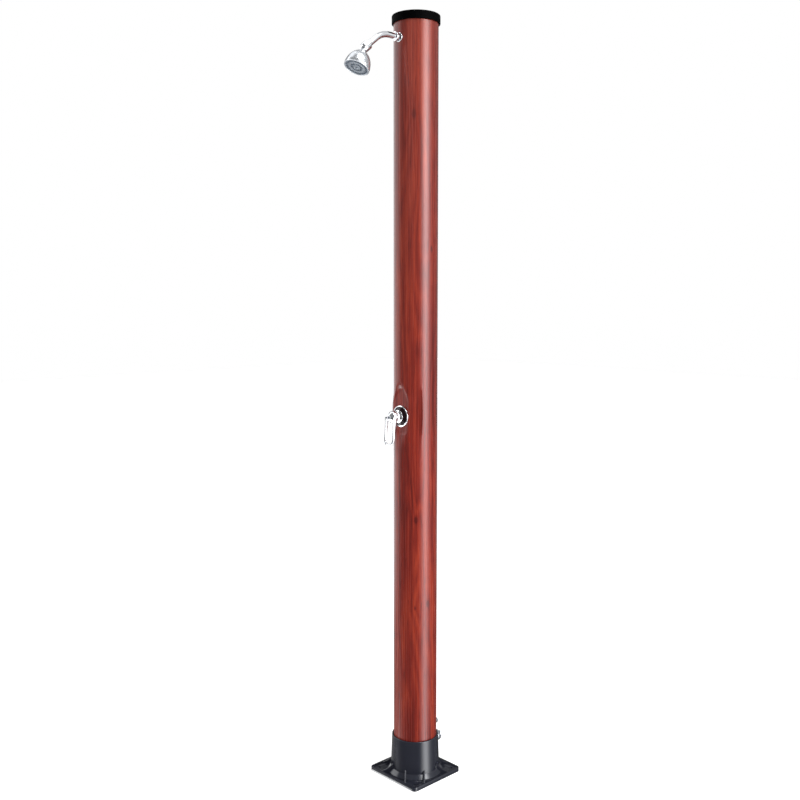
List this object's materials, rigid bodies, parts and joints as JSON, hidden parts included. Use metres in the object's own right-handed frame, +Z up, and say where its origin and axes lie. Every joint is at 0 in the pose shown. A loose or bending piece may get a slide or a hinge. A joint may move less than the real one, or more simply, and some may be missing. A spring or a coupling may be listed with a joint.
{
  "type": "outdoor shower post",
  "caption": "Round upright outdoor shower post on a square ribbed foot, with a bent arm and swivelling spray head, a loop-lever mixer and a hose inlet behind.",
  "frame": {"origin": "centre of the foot's underside, on the axis of the post", "axes": "+Z up along the post, -Y towards the arm and the mixer, +Y towards the hose inlet"},
  "size_m": [0.19, 0.3584, 2.17],
  "materials": {
    "wood_print": "red mahogany wood grain printed on smooth plastic",
    "black_plastic": "satin black",
    "anthracite_plastic": "satin dark blue-grey",
    "screw_steel": "plain",
    "white_plastic": "moulded",
    "seal_rubber": "matt",
    "brass": "as turned",
    "chrome_fitting": "bright",
    "chrome": "mirror bright",
    "plated_bell": "chrome-plated",
    "grey_plastic": "grey-blue, smooth",
    "nozzle_rubber": "soft"
  },
  "bodies": {
    "post": {"arm_back_nut": "brass", "arm_bushing": "chrome_fitting", "arm_elbow": "white_plastic", "arm_flange": "chrome", "arm_saddle_washer": "seal_rubber", "arm_union_nut": "chrome", "base_flange": "anthracite_plastic", "bottom_plug": "white_plastic", "bottom_plug_ring": "seal_rubber", "cartridge_ring_nut": "brass", "check_valve_cage": "brass", "cold_elbow": "white_plastic", "cold_pipe": "white_plastic", "cold_stub": "white_plastic", "drain_back_nut": "brass", "drain_bushing": "chrome_fitting", "drain_plug": "chrome_fitting", "drain_saddle_washer": "seal_rubber", "drain_washer": "seal_rubber", "feed_tee": "brass", "foot_screws": "screw_steel", "hose_coupling": "chrome_fitting", "hot_pipe": "white_plastic", "hub_ring": "seal_rubber", "inlet_back_nut": "brass", "inlet_nipple": "chrome_fitting", "inlet_saddle_washer": "seal_rubber", "inlet_washer": "seal_rubber", "lever_hub": "chrome", "mixed_pipe": "white_plastic", "mixer_body": "brass", "mixer_cartridge": "white_plastic", "mixer_clamp_nut": "brass", "mixer_inner_gasket": "seal_rubber", "mixer_outer_gasket": "seal_rubber", "mixer_rosette": "chrome", "post_tube": "wood_print", "shower_arm": "chrome", "swivel_fitting": "chrome_fitting", "swivel_nut": "chrome", "swivel_seal": "seal_rubber", "top_cap": "black_plastic", "top_plug": "white_plastic", "top_plug_ring": "seal_rubber"},
    "mixer_stem": {"cartridge_stem": "brass", "pivot_pin": "screw_steel"},
    "lever": {"mixer_lever": "chrome", "lever_spindle": "brass", "lever_screw": "screw_steel", "lever_button": "grey_plastic"},
    "check_poppet": {"check_valve_poppet": "white_plastic"},
    "swivel_liner": {"swivel_liner": "white_plastic"},
    "head": {"ball_nipple": "chrome", "head_bell": "plated_bell", "spray_face": "grey_plastic", "nozzle_mat": "nozzle_rubber", "mat_carrier": "grey_plastic"}
  },
  "joints": [
    {"name": "lever_turn", "type": "hinge", "parent": "post", "child": "mixer_stem", "pos_m": [0, -0.06, 1.062], "axis": [0, -1, 0], "range_deg": [-45, 45]},
    {"name": "lever_lift", "type": "hinge", "parent": "mixer_stem", "child": "lever", "pos_m": [0, -0.088, 1.062], "axis": [-1, 0, 0], "range_deg": [0, 25]},
    {"name": "poppet_lift", "type": "slide", "parent": "post", "child": "check_poppet", "axis": [0, 0, 1], "range_m": [0, 0.005]},
    {"name": "head_pan", "type": "hinge", "parent": "post", "child": "swivel_liner", "pos_m": [0, -0.19262, 2.05152], "axis": [0, -0.6157, 0.788], "range_deg": [-15, 15]},
    {"name": "head_tilt", "type": "hinge", "parent": "swivel_liner", "child": "head", "pos_m": [0, -0.19262, 2.05152], "axis": [1, 0, 0], "range_deg": [-56, 4]}
  ]
}
